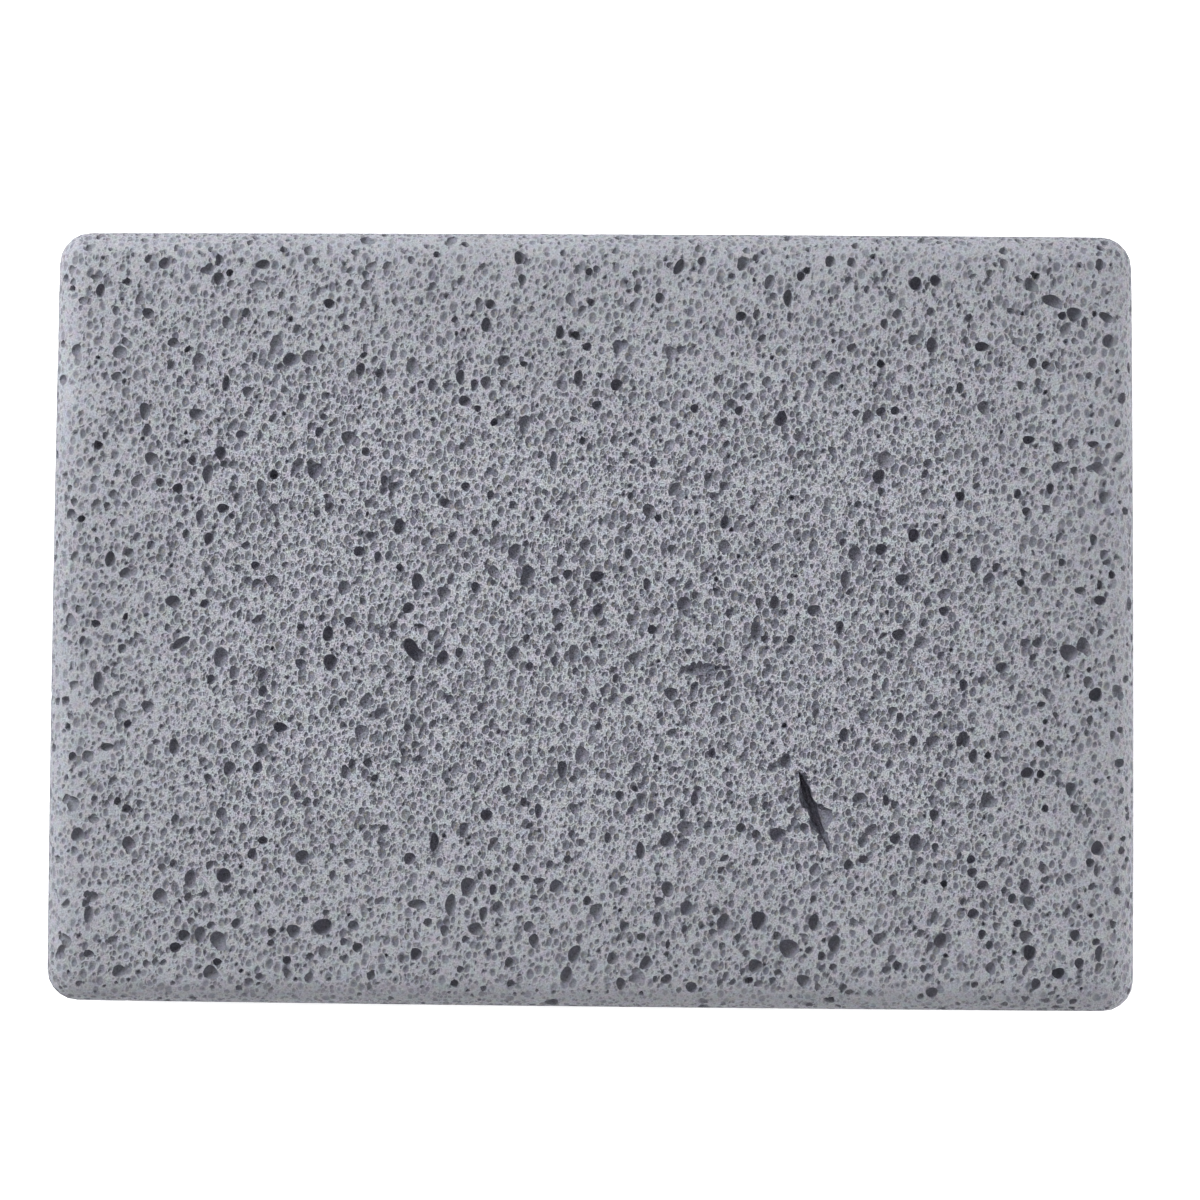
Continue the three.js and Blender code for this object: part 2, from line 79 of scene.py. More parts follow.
# The bubbles that stand out on the top face, in millimetres: centre x and y, long and short diameter,
# the lean of the long diameter in degrees from +X, the depth, and how dark it is inside from 0 to 1.
TOP_BUBBLES = [
    (-17.0, -2.2, 1.4, 1.2, 115, 1.9, 1.0),
    (-16.7, -2.7, 1.8, 1.3, 122, 2.2, 1.0),
    (-16.3, -3.1, 1.4, 1.3, 140, 2.2, 1.0),
    (-13.9, -3.4, 1.4, 1.2, 90, 1.1, 0.7),
    (-7.4, -3.0, 1.4, 1.2, 90, 0.9, 0.5),
    (-1.8, -3.0, 1.7, 1.2, 90, 0.7, 0.35),
    (-17.9, 8.7, 1.5, 1.2, 90, 1.2, 0.7),
    (-16.2, 3.6, 1.6, 1.3, 90, 1.2, 0.7),
    (-17.1, 1.2, 1.2, 1.1, 0, 1.3, 0.95),
    (-22.5, -0.1, 1.2, 1.1, 0, 1.0, 0.7),
    (-21.6, 6.4, 1.2, 1.1, 0, 1.2, 0.95),
    (-24.5, -1.2, 1.5, 1.1, 90, 1.4, 0.95),
    (-24.3, -3.8, 1.6, 1.4, 90, 1.5, 0.95),
    (-34.4, -3.3, 1.9, 1.4, 90, 1.0, 0.5),
    (-38.8, 1.8, 1.5, 1.2, 0, 1.1, 0.7),
    (-38.1, -2.0, 1.9, 0.9, 35, 0.9, 0.5),
    (-45.7, -5.6, 1.8, 1.1, 90, 0.9, 0.5),
    (-44.6, 5.7, 1.6, 1.0, 90, 1.1, 0.7),
    (-35.6, 13.6, 1.9, 1.0, 80, 1.0, 0.6),
    (-34.4, 15.5, 1.3, 1.1, 90, 1.3, 0.95),
    (-34.2, 10.4, 1.2, 1.0, 0, 1.3, 0.95),
    (-35.5, 7.6, 1.2, 1.0, 90, 1.2, 0.95),
    (-30.7, 12.3, 1.7, 0.9, 90, 0.7, 0.35),
    (-40.8, 15.0, 1.4, 1.2, 0, 0.9, 0.5),
    (-41.4, 19.4, 1.6, 1.1, 90, 0.9, 0.5),
    (-36.7, 19.1, 1.3, 1.2, 0, 0.9, 0.5),
    (-43.7, 24.8, 1.4, 1.3, 0, 0.7, 0.35),
    (-28.0, 24.1, 1.4, 1.3, 0, 1.1, 0.7),
    (-26.2, 24.3, 1.5, 1.4, 0, 0.7, 0.35),
    (-33.9, 21.9, 1.5, 0.8, 90, 0.9, 0.5),
    (-36.4, 24.1, 1.3, 1.3, 0, 0.7, 0.35),
    (-30.5, 32.9, 1.4, 1.0, 0, 1.1, 0.7),
    (-39.6, 33.0, 1.2, 1.2, 0, 1.0, 0.7),
    (-34.6, 31.6, 1.3, 1.0, 90, 1.0, 0.7),
    (-45.5, 30.5, 1.3, 0.9, 90, 1.0, 0.7),
    (-41.1, 28.4, 1.2, 1.1, 0, 1.0, 0.7),
    (-24.4, 29.3, 1.1, 1.0, 0, 1.3, 0.95),
    (-9.9, 27.3, 1.5, 1.0, 90, 1.1, 0.7),
    (-3.1, 26.6, 1.3, 0.9, 90, 1.1, 0.7),
    (-16.7, 23.5, 1.7, 1.2, 90, 0.7, 0.35),
    (-12.3, 22.5, 1.4, 0.9, 90, 1.0, 0.7),
    (-11.9, 20.3, 1.2, 1.1, 0, 1.1, 0.7),
    (-1.4, 22.4, 1.5, 0.9, 90, 1.0, 0.7),
    (2.1, 21.8, 1.2, 1.2, 0, 1.4, 0.95),
    (-8.3, 24.0, 1.3, 1.1, 0, 0.9, 0.5),
    (7.9, 32.7, 1.6, 1.0, 60, 1.1, 0.7),
    (17.9, 29.8, 1.6, 0.9, 90, 1.1, 0.7),
    (16.2, 31.3, 1.6, 0.9, 65, 0.7, 0.35),
    (29.7, 31.1, 1.3, 1.3, 0, 1.5, 0.95),
    (31.5, 31.4, 1.1, 1.1, 0, 1.3, 0.95),
    (13.6, 28.1, 1.1, 1.0, 0, 1.2, 0.95),
    (31.2, 25.4, 1.6, 1.1, 90, 1.1, 0.7),
    (42.3, 29.5, 2.2, 1.1, -25, 1.1, 0.7),
    (44.3, 28.3, 1.5, 1.4, 0, 1.1, 0.6),
    (47.3, 28.0, 1.5, 0.9, -30, 0.9, 0.5),
    (47.5, 25.8, 1.3, 1.3, 0, 0.9, 0.5),
    (35.8, 25.3, 1.5, 0.9, 0, 1.3, 0.95),
    (26.9, 14.9, 1.6, 1.6, 0, 0.7, 0.35),
    (26.3, 13.3, 1.4, 1.2, 90, 1.4, 0.95),
    (29.5, 7.9, 1.3, 1.1, 90, 1.6, 1.0),
    (26.5, 6.6, 1.2, 1.2, 0, 1.4, 0.95),
    (28.5, 3.8, 1.5, 1.1, 0, 1.1, 0.7),
    (24.1, 6.2, 1.5, 1.3, 90, 0.9, 0.5),
    (23.2, 3.8, 1.8, 0.9, 90, 0.8, 0.45),
    (28.2, -1.3, 1.4, 1.2, 0, 1.1, 0.7),
    (15.0, -0.9, 1.8, 1.2, 90, 0.9, 0.5),
    (8.3, 1.6, 1.6, 1.2, 30, 0.9, 0.5),
    (0.3, 4.1, 1.3, 1.2, 0, 1.4, 0.95),
    (-3.7, 14.7, 1.8, 0.8, 90, 0.7, 0.35),
    (-7.3, 6.4, 1.6, 1.2, 90, 0.9, 0.5),
    (16.7, 1.7, 1.3, 1.0, 90, 1.0, 0.7),
    (20.3, 1.0, 1.3, 1.1, 0, 0.9, 0.5),
    (12.1, 9.1, 1.3, 0.9, 90, 1.0, 0.7),
    (40.1, 16.7, 1.2, 0.9, 0, 1.3, 0.95),
    (43.8, -2.9, 1.8, 1.6, 0, 1.2, 0.7),
    (46.3, -6.8, 1.4, 1.3, 90, 1.4, 0.95),
    (35.2, 5.2, 1.5, 1.1, 90, 0.9, 0.5),
    (32.4, 5.9, 1.3, 0.9, 90, 1.2, 0.95),
    (37.6, -4.3, 1.2, 1.1, 0, 1.0, 0.7),
    (47.1, 11.4, 1.3, 1.1, 90, 0.7, 0.35),
    (46.7, 1.9, 1.2, 1.0, 0, 1.2, 0.95),
    (-28.9, -9.8, 1.4, 1.0, 0, 1.4, 0.95),
    (-38.7, -11.6, 1.6, 1.0, 90, 1.0, 0.7),
    (-33.6, -13.6, 1.4, 1.2, 90, 1.0, 0.7),
    (-47.6, -19.7, 1.4, 1.3, 90, 1.0, 0.7),
    (-34.1, -23.5, 1.5, 1.4, 90, 1.5, 0.95),
    (-37.2, -23.8, 1.9, 1.1, 90, 0.9, 0.5),
    (-40.0, -25.3, 1.4, 1.4, 0, 0.9, 0.5),
    (-25.0, -28.2, 1.9, 1.6, 0, 1.6, 0.95),
    (-34.6, -29.5, 1.9, 1.5, 115, 1.0, 0.6),
    (-36.3, -28.9, 1.6, 1.1, 90, 0.9, 0.5),
    (-38.6, -30.1, 1.2, 1.0, 0, 1.3, 0.95),
    (-46.6, -27.1, 1.8, 0.9, 90, 0.8, 0.45),
    (-43.8, -32.3, 1.4, 1.2, 0, 0.9, 0.5),
    (-9.9, -17.9, 1.2, 1.2, 0, 1.4, 0.95),
    (-14.7, -20.4, 1.9, 0.9, 90, 1.3, 0.95),
    (-17.0, -21.9, 1.2, 1.2, 0, 1.0, 0.7),
    (-11.6, -24.5, 1.8, 1.5, 90, 1.1, 0.7),
    (-13.2, -26.2, 2.1, 1.1, 90, 0.9, 0.5),
    (-16.3, -26.1, 1.9, 0.9, 0, 0.8, 0.45),
    (-2.9, -13.7, 1.7, 1.0, 90, 1.0, 0.7),
    (-1.1, -12.4, 1.8, 1.3, 90, 0.7, 0.35),
    (-2.5, -32.7, 1.7, 1.2, 90, 1.0, 0.7),
    (-1.8, -30.7, 1.7, 1.2, 65, 1.0, 0.7),
    (4.3, -21.2, 1.7, 0.9, 90, 1.0, 0.7),
    (-10.9, -28.4, 1.4, 1.3, 0, 0.9, 0.5),
    (-5.5, -29.5, 1.4, 1.0, 90, 0.9, 0.5),
    (17.7, -12.9, 1.4, 1.1, 90, 0.9, 0.5),
    (6.8, -20.2, 1.5, 1.4, 0, 1.1, 0.7),
    (15.2, -27.6, 1.9, 1.4, 90, 1.5, 0.95),
    (20.3, -27.8, 1.6, 1.1, 90, 1.1, 0.7),
    (18.0, -30.2, 1.9, 1.8, 0, 1.3, 0.8),
    (22.2, -29.8, 1.8, 1.2, 90, 1.1, 0.7),
    (14.9, -31.8, 1.5, 1.2, 0, 1.0, 0.7),
    (12.0, -27.8, 1.6, 1.4, 90, 0.9, 0.5),
    (8.6, -26.5, 1.4, 1.4, 0, 0.9, 0.5),
    (6.8, -24.7, 1.5, 1.2, 90, 0.9, 0.5),
    (29.7, -20.5, 1.7, 1.3, 90, 1.1, 0.6),
    (31.4, -17.9, 1.2, 1.0, 90, 1.0, 0.7),
    (32.0, -29.5, 1.5, 1.3, 90, 1.1, 0.7),
    (23.1, -10.5, 1.4, 0.9, 90, 0.9, 0.5),
    (40.2, -30.6, 1.6, 1.2, 90, 1.5, 0.95),
    (40.0, -14.0, 1.3, 1.1, 0, 1.2, 0.8),
    (46.5, -21.0, 1.4, 1.3, 90, 1.1, 0.7),
    (39.8, -24.5, 1.6, 1.0, 90, 0.9, 0.5),
    (44.4, -29.0, 1.2, 1.0, 90, 1.0, 0.7),
    (44.0, -15.5, 1.3, 1.1, 90, 0.9, 0.5),
    (35.0, -12.5, 1.4, 0.9, 90, 0.9, 0.5),
    (35.9, -24.4, 1.2, 1.0, 0, 0.9, 0.5),
    (35.0, -27.0, 1.2, 1.0, 0, 1.0, 0.7),
]

# The smaller dark ones among them, in the same way, without the depth, which comes from how dark they are.
SMALL_TOP_BUBBLES = [
    (-10.7, 19.6, 0.7, 0.7, 0, 0.95), (-0.4, 32.2, 0.8, 0.8, 90, 0.95), (19.1, 31.8, 0.9, 0.9, 0, 0.95),
    (9.3, 19.6, 0.9, 0.9, 0, 0.95), (13.4, 19.4, 0.9, 0.9, 0, 0.95), (27.8, 19.4, 0.9, 0.9, 0, 0.95),
    (-37.0, 14.8, 1.0, 0.8, 90, 0.95), (-27.0, -0.6, 0.8, 0.8, 0, 0.95), (-19.9, 5.9, 1.1, 0.8, 90, 0.95),
    (-19.3, 12.9, 1.2, 0.8, 90, 0.95), (-12.4, -2.9, 1.1, 0.8, 90, 0.95), (-6.2, -1.6, 0.9, 0.7, 90, 0.95),
    (3.2, 6.2, 1.1, 0.8, 90, 0.95), (3.4, 11.5, 0.8, 0.6, 90, 0.95), (22.7, -0.6, 1.3, 0.8, 90, 0.95),
    (5.4, -0.8, 1.0, 1.0, 0, 0.95), (4.9, 3.4, 1.2, 0.8, 90, 0.95), (46.1, 16.3, 1.1, 0.7, 0, 0.95),
    (42.1, 12.2, 1.1, 0.8, 90, 0.95), (39.1, 11.7, 1.0, 0.8, 90, 0.95), (34.1, -5.9, 1.2, 0.9, 90, 0.95),
    (41.3, -7.7, 0.9, 0.6, 0, 0.95), (39.4, 3.5, 0.8, 0.8, 0, 0.95), (-43.0, -9.5, 0.8, 0.8, 0, 0.95),
    (-28.3, -31.3, 0.9, 0.9, 0, 0.95), (-0.6, -25.8, 1.0, 0.8, 90, 0.95), (-9.3, -24.8, 1.1, 0.8, 90, 0.95),
    (-22.3, -13.2, 1.1, 0.7, 90, 0.95), (10.9, -12.2, 1.0, 0.8, 90, 0.95), (34.8, -22.0, 0.9, 0.9, 0, 0.95),
    (35.8, -28.9, 1.0, 0.8, 90, 0.95), (41.2, -11.3, 0.8, 0.8, 0, 0.95), (-0.6, 25.3, 0.9, 0.9, 0, 0.95),
    (-21.5, 23.2, 1.3, 0.9, 90, 0.95), (-6.6, 31.5, 1.1, 0.8, 90, 0.7), (-9.5, 29.2, 1.0, 1.0, 0, 0.7),
    (-11.0, 21.8, 1.1, 0.8, 90, 0.7), (0.3, 19.9, 1.0, 1.0, 0, 0.6), (10.0, 33.2, 1.0, 0.9, 90, 0.7),
    (6.1, 29.8, 1.1, 1.0, 90, 0.7), (21.8, 33.2, 1.1, 1.1, 0, 0.7), (26.8, 27.4, 1.0, 0.8, 90, 0.7),
    (26.5, 19.3, 1.0, 1.0, 0, 0.7), (46.7, 32.9, 1.2, 0.9, 90, 0.7), (41.7, 23.6, 0.9, 0.9, 0, 0.7),
    (40.5, 23.8, 1.1, 0.9, 90, 0.7), (33.8, 21.5, 1.1, 0.8, 90, 0.7), (-32.5, 17.2, 1.1, 0.9, 0, 0.7),
    (-40.0, 12.8, 0.9, 0.9, 0, 0.7), (-36.3, 9.6, 1.5, 0.8, 90, 0.7), (-31.2, 5.1, 0.9, 0.9, 0, 0.7),
    (-35.9, 1.6, 0.9, 0.9, 0, 0.7), (-35.3, -5.4, 1.0, 0.9, 90, 0.7), (-30.5, -6.5, 1.1, 1.0, 90, 0.7),
    (-21.0, 15.6, 0.9, 0.9, 0, 0.7), (-13.7, 10.9, 1.0, 1.0, 0, 0.7), (-11.8, 12.4, 0.9, 0.9, 0, 0.7),
    (-10.9, 3.1, 1.1, 1.0, 90, 0.7), (-9.5, 11.6, 0.9, 0.8, 90, 0.7), (-2.4, 4.3, 1.0, 1.0, 0, 0.7),
    (0.4, 1.0, 1.4, 1.0, 90, 0.7), (-5.9, -4.2, 1.0, 0.8, 90, 0.7), (-3.6, -3.7, 1.1, 0.7, 90, 0.7),
    (39.9, 10.1, 0.9, 0.9, 0, 0.7), (44.9, 2.8, 1.1, 0.8, 0, 0.7), (32.3, 0.9, 1.0, 1.0, 0, 0.7),
    (46.1, 7.5, 1.1, 0.8, 90, 0.7), (43.2, 5.4, 0.8, 0.8, 0, 0.7), (18.2, -1.7, 0.9, 0.9, 0, 0.7),
    (-44.9, -11.6, 1.3, 0.8, 0, 0.7), (-48.1, -12.5, 0.9, 0.9, 0, 0.7), (-31.0, -13.5, 1.2, 1.0, 90, 0.7),
    (-37.8, -29.0, 1.2, 1.2, 0, 0.7), (-33.0, -27.9, 1.1, 0.9, 90, 0.7), (-29.7, -28.7, 0.9, 0.9, 0, 0.7),
    (-46.6, -30.7, 1.1, 0.8, 0, 0.7), (-31.5, -21.5, 1.1, 1.0, 90, 0.7), (-5.1, -17.5, 1.4, 0.8, 90, 0.7),
    (2.5, -33.5, 1.3, 0.9, 90, 0.7), (1.3, -20.0, 1.1, 0.8, 90, 0.7), (2.4, -16.1, 1.0, 0.9, 90, 0.7),
    (-10.2, -27.0, 1.4, 0.8, 90, 0.7), (-5.0, -24.0, 1.2, 0.8, 0, 0.7), (-21.8, -30.1, 1.0, 1.0, 0, 0.7),
    (-16.4, -30.7, 1.2, 1.2, 0, 0.7), (-7.8, -31.5, 1.1, 0.9, 90, 0.7), (-20.2, -14.5, 0.8, 0.8, 0, 0.7),
    (13.6, -19.1, 1.0, 1.0, 0, 0.7), (9.0, -33.8, 1.2, 1.1, 0, 0.7), (27.8, -20.1, 1.1, 1.1, 0, 0.7),
    (23.5, -22.5, 1.1, 1.0, 90, 0.7), (24.9, -22.0, 1.1, 0.8, 0, 0.7), (9.3, -16.4, 1.4, 0.8, 90, 0.7),
    (28.0, -31.8, 1.0, 0.9, 90, 0.7), (31.2, -34.3, 1.2, 1.1, 0, 0.7), (29.5, -11.1, 1.2, 0.8, 90, 0.7),
    (48.5, -13.1, 1.1, 0.9, 0, 0.7), (45.8, -22.3, 0.9, 0.9, 0, 0.7), (34.9, -23.2, 1.0, 1.0, 0, 0.7),
    (36.5, -29.9, 0.9, 0.8, 90, 0.7), (39.1, -27.9, 0.9, 0.8, 0, 0.7), (38.6, -25.6, 1.0, 0.9, 90, 0.7),
    (44.8, -31.6, 1.1, 1.0, 90, 0.7), (46.6, -30.7, 1.5, 0.8, 90, 0.7), (40.8, -33.5, 1.1, 1.0, 90, 0.7),
]

# The row of small bubbles that have broken into one another near the middle, in the same way.
GOUGE_BUBBLES = [
    (8.2, -4.5, 0.8, 0.7, 90, 0.5), (9.0, -4.5, 1.1, 1.0, 0, 0.8), (9.2, -4.0, 0.6, 0.5, 0, 0.9),
    (9.8, -4.2, 1.1, 0.8, 90, 0.8), (10.5, -4.2, 1.0, 0.8, 0, 0.6), (10.0, -5.1, 0.7, 0.7, 0, 0.7),
    (10.7, -5.0, 1.1, 0.8, -40, 1.0), (11.4, -4.3, 0.6, 0.5, 0, 0.9), (12.2, -4.3, 0.9, 0.5, 0, 0.8),
    (9.3, -6.0, 0.9, 0.8, 60, 0.55), (8.8, -2.8, 0.9, 0.6, 0, 0.7), (11.7, -2.7, 0.9, 0.7, 0, 0.6),
    (9.7, -4.6, 3.4, 0.9, -6, 0.5),
]

# Bubbles that have broken into the gash, in the same way.
GASH_BUBBLES = [
    (19.4, -14.2, 0.6, 0.5, 0, 0.6), (21.5, -18.2, 1.7, 1.1, 70, 0.6), (20.3, -18.8, 1.2, 0.9, 110, 0.85),
    (21.7, -20.8, 0.9, 0.6, 110, 0.6), (20.9, -20.0, 0.8, 0.6, 110, 0.9),
]

# The gash in the top face and the deeper crack along it: outlines of x and y in millimetres that narrow
# to their floors.
GASH = [
    (18.8, -13.7), (19.2, -13.9), (19.7, -14.1), (19.6, -14.7), (19.9, -15.1), (20.1, -15.7),
    (20.0, -16.0), (20.3, -16.4), (20.6, -16.8), (21.1, -16.8), (21.3, -17.1), (21.7, -17.3),
    (22.1, -17.4), (22.1, -17.9), (22.0, -18.5), (21.7, -19.0), (21.4, -19.5), (21.6, -19.9),
    (21.8, -20.4), (22.0, -20.8), (21.9, -21.2), (21.6, -21.1), (21.3, -20.6), (21.1, -20.3),
    (20.8, -19.8), (20.3, -19.4), (19.9, -19.0), (19.8, -18.6), (19.9, -18.2), (19.7, -17.7),
    (19.6, -17.3), (19.1, -17.2), (18.9, -16.6), (18.8, -15.8), (18.9, -14.9), (19.0, -14.3),
]
GASH_DEPTH = 1.3 * MM
GASH_DARK = 0.8
CRACK = [
    (18.8, -13.7), (19.2, -14.0), (19.5, -14.6), (19.9, -15.2), (20.0, -15.8), (20.3, -16.5),
    (20.7, -16.9), (20.9, -17.5), (21.0, -18.2), (21.2, -19.0), (21.4, -19.6), (21.5, -20.1),
    (21.2, -20.2), (20.7, -19.7), (20.6, -19.4), (20.1, -18.9), (20.1, -18.2), (19.9, -17.7),
    (19.7, -17.0), (19.3, -16.4), (19.1, -15.7), (19.0, -15.0), (18.9, -14.4),
]
CRACK_DEPTH = 2.2 * MM
CRACK_DARK = 1.0

# How high over the face a break's outline starts, how far down its walls bend inwards as a share of its
# depth, and how much of its width is left there and on its floor.
RIM_RISE = 0.4 * MM
BEND_DEPTH_SHARE = 0.6
BEND_WIDTH_SHARE = 0.85
FLOOR_WIDTH_SHARE = 0.45

# Of the bubbles that stand out: those at least this long get the roundest copy, how much of its depth
# each keeps, how ragged its outline is, and a small one's depth as a share of its short diameter, the
# least and what its darkness adds.
PICKED_FROM_MM = 1.3
PICKED_DEPTH_SHARE = 0.85
PICKED_RAGGED = 0.08
SMALL_DEPTH = 0.4
SMALL_DEPTH_BY_DARK = 0.8

# The modelled bubbles that are copied: the number of sides, and rings of radius and height from over the
# mouth down to the point, where the mouth's radius and the depth are 1.
BUBBLE_SHAPES = {
    "picked": (14, [(1.04, 0.35), (0.93, -0.3), (0.72, -0.72), (0, -1)]),
    "broad": (10, [(1.04, 0.35), (0.84, -0.55), (0, -1)]),
    "middling": (7, [(1.05, 0.35), (0.78, -0.6), (0, -1)]),
    "small": (6, [(1.3, 0.35), (0, -1)]),
}
# A copy bulges on two sides, on three sides and by chance at each of its corners, in these shares.
TWO_BULGES = 0.6
THREE_BULGES = 0.8
CHANCE_BULGES = 0.5
# Corners whose directions agree to this many parts of a turn stand over one another.
TURN_PARTS = 1000

# The other bubbles, from the largest kind to the smallest: how many to each square millimetre of the
# top face, the least and greatest long diameter in millimetres, and the modelled bubble that is copied.
BUBBLE_KINDS = [
    (0.024, 1.1, 1.6, "broad"),
    (0.125, 0.8, 1.1, "middling"),
    (0.280, 0.55, 0.8, "small"),
]
# Share of that number on the sides and on the underside, and how far up or down a face that isn't a side
# looks.
SIDE_SHARE = 0.52
UNDER_SHARE = 0.22
FACING = 0.7
# How strongly the sizes of a kind lean to its least, how much narrower than long a bubble is at most, and
# how ragged its outline is.
SMALL_LEANING = 1.6
NARROWEST = 0.38
RAGGED = 0.13
# The bubbles are drawn out along this direction, give or take this many radians.
GRAIN_DIRECTION = Vector((0.12, 1.0, 0.0)).normalized()
GRAIN_LEAST = 0.3
LEAN_SPREAD = 0.7
# Share of the bubbles that are deep enough to be nearly black inside, and for these and the others the
# least depth as a share of the short diameter and what chance adds, and the same for the darkness.
DEEP_SHARE = 0.05
DEEP_DEPTH = (0.85, 0.35)
DEEP_DARK = (0.8, 0.2)
SHALLOW_DEPTH = (0.4, 0.35)
SHALLOW_DARK = (0.15, 0.5)
# Share of the bubbles over the small kind that have run together with a second one, its least and greatest
# size beside the first, and how far from the first's middle it lies, as shares of the first's diameters.
MERGED_SHARE = 0.3
SECOND_SIZE = (0.55, 0.8)
SECOND_AWAY = (0.38, 0.5)
# How far apart two bubbles keep, as a share of their two radii added up: less than 1 lets some merge.
SPACING = 0.86
# Neighbours are looked for in cells of this side. Places are drawn this many times as often as wanted,
# since some are taken, and six numbers are drawn for each: for the length, the width, whether it stays
# on this face, whether it is deep, the depth and the darkness.
CELL = 2.2 * MM
TRIES = 4
DRAWS = 6
SEED = 9

# How far a copy reaches as a share of its long diameter, how much farther a small one does, whose walls
# flare, and the gap between two copies that are cut at once.
COPY_REACH = 0.56
SMALL_COPY_FLARE = 1.12
COPY_GAP = 0.02 * MM
# The sharpest turn that is still shaded smooth.
CREASE_ANGLE = math.radians(50)

# The UV map that the looks are baked through: each side of the block lies flat, six in one square. For each
# side: the axes that run across and up its chart, and the chart's lower left corner.
CHART_GAP = 2 * MM
SHEET = 180 * MM
CHARTS = {
    (2, 1): (0, 1, 0, 0),
    (2, -1): (0, 1, 0, WIDTH + CHART_GAP),
    (1, 1): (2, 0, LENGTH + CHART_GAP, 0),
    (1, -1): (2, 0, LENGTH + HEIGHT + 2 * CHART_GAP, 0),
    (0, 1): (1, 2, LENGTH + CHART_GAP, LENGTH + CHART_GAP),
    (0, -1): (1, 2, LENGTH + CHART_GAP, LENGTH + HEIGHT + 2 * CHART_GAP),
}

# The foam's colours, as linear values. The colours inside the fine and the cut bubbles are darker partly
# because the glassy walls there are darker grey and partly as painted shade in the hollows.
RIM_COLOR = (0.271, 0.275, 0.302, 1.0)
WALL_AND_SHADE_COLOR = (0.081, 0.082, 0.107, 1.0)
CUT_WALL_AND_SHADE_COLOR = (0.119, 0.119, 0.150, 1.0)
DEEP_COLOR = (0.148, 0.146, 0.181, 1.0)
WARM_COLOR = (0.140, 0.135, 0.124, 1.0)

# The bubbles too fine to cut, from the coarse to the fine: how many centres to a millimetre, the least
# radius as a share of their spacing and how much it varies, how soft their rim is, the least darkness
# and how much it varies, the depth in millimetres, and how much of them is rubbed away near the edges.
# Their darkness is partly the walls' own darker grey and partly painted shade in these uncut hollows.
FINE_BUBBLES = [
    (1.25, 0.26, 0.30, 0.16, 0.64, 0.30, 0.50, 0.00),
    (2.3, 0.31, 0.30, 0.18, 0.60, 0.34, 0.36, 0.00),
    (4.0, 0.36, 0.32, 0.30, 0.52, 0.45, 0.10, 0.50),
]
SCATTER = 0.95
# They are this much longer than wide, and lean this far from +Y towards +X.
PIT_LENGTH = 1.42
PIT_LEAN = math.radians(8)
# How far out from a fine bubble, as shares of its radius, its plain rim runs, where no finer bubble
# opens, and how much lighter the rim is: a painted highlight where the thin rim catches the light.
PLAIN_FROM = -0.28
PLAIN_TO = -0.06
RIM_HIGHLIGHT = 0.10
# A few of the finest are warmer inside: from and to which of their draws, and how much.
WARM_FROM = 0.84
WARM_TO = 0.95
WARMTH = 0.8
# How much of the fine bubbles is left inside the cut ones, and along the block's worn edges.
PITS_IN_BUBBLES = 0.55
PITS_ON_EDGES = 0.6
HOLLOWS_IN_BUBBLES = 0.4
HOLLOWS_ON_EDGES = 0.4
WORN_MM = 3.5
# How far in from its edges the stone is rubbed smoother, how much softer the fine bubbles' rims get
# there, how much of the grain goes, and how much darker the skin is.
RUBBED_MM = 24.0
RUBBED_SOFTNESS = 0.25
RUBBED_GRAIN = 0.70
RUBBED_SHADE = 0.10
# How much lighter the cut bubbles are inside there, and how much lighter and shallower the fine ones.
RUBBED_LIGHT = 0.28
RUBBED_PITS_LIGHT = 0.06
RUBBED_SHALLOW = 0.4
# How deep inside a cut bubble, in millimetres, the skin's colour has given way to the wall's, how much of
# the wall's colour a light bubble gets, between which marks of darkness it gets the rest, and how much of
# it is lost on worn edges and over the fine bubbles. The wall's colour is partly the glassy walls' own
# darker grey and partly painted shade in the hollow.
BUBBLE_EDGE_MM = 0.09
CUT_LEAST = 0.72
CUT_FULL_BETWEEN = (0.1, 0.6)
CUT_OFF_ON_EDGES = 0.3
CUT_OFF_ON_PITS = 0.5
# From which mark of darkness, and how far down in millimetres, a cut bubble turns nearly black.
DEEP_BETWEEN = (0.85, 1.0)
DEEP_BETWEEN_MM = (0.1, 0.5)
# The waves that bend the fine bubbles and tint the stone, the patches and the grain: how many to a
# millimetre, how far or how much they reach, and the tone that they start from.
WAVES_PER_MM = 1.4
WANDER = 0.3
TINT = 0.25
PATCHES_PER_MM = 0.12
PATCH_CONTRAST = 0.16
GRAINS_PER_MM = 7.0
GRAIN_CONTRAST = 2.6
GRAIN_HEIGHT_MM = 0.1
TONE = 0.865
# How finely the waves and the other two are broken up, and the value that they swing about.
WAVE_DETAIL = 1.0
GRAIN_DETAIL = 2.0
NOISE_MIDDLE = 0.5
# How rough the skin is, how much smoother the walls of the cut bubbles are, and their sheen.
ROUGHNESS = 0.95
CUT_SMOOTHER = 0.25
SHEEN_LEVEL = 0.25

# The floor: its side, colour, finish and glow.
FLOOR_SIDE = 6
FLOOR_COLOR = (0.96, 0.96, 0.96, 1.0)
FLOOR_ROUGHNESS = 0.9
FLOOR_SHEEN_LEVEL = 0.1
FLOOR_GLOW = 0.4
# Each light's name, place, size, power in watts and colour, and the light of the air.
LIGHTS = [
    ("window_light", (-0.30, 0.25, 0.30), 0.26, 3.0, (0.97, 0.985, 1.0)),
    ("fill_light", (0.40, -0.02, 0.07), 0.12, 1.0, (1.0, 1.0, 1.0)),
]
AIR_COLOR = (1.0, 1.0, 1.0, 1.0)
AIR_LIGHT = 0.97

# The photograph's frame: its size, the middle of the stone in it, and its scale.
PHOTO_SIDE_PX = 1200
STONE_MIDDLE_PX = (593.0, 620.4)
PX_PER_MM = 10.81
PHOTO_TURN = math.radians(0.44)
LENS_MM = 300.0
SENSOR_MM = 36.0
NEAREST = 0.01
FARTHEST = 10
OUTLINE_HEIGHT = HEIGHT - EDGE_RADIUS


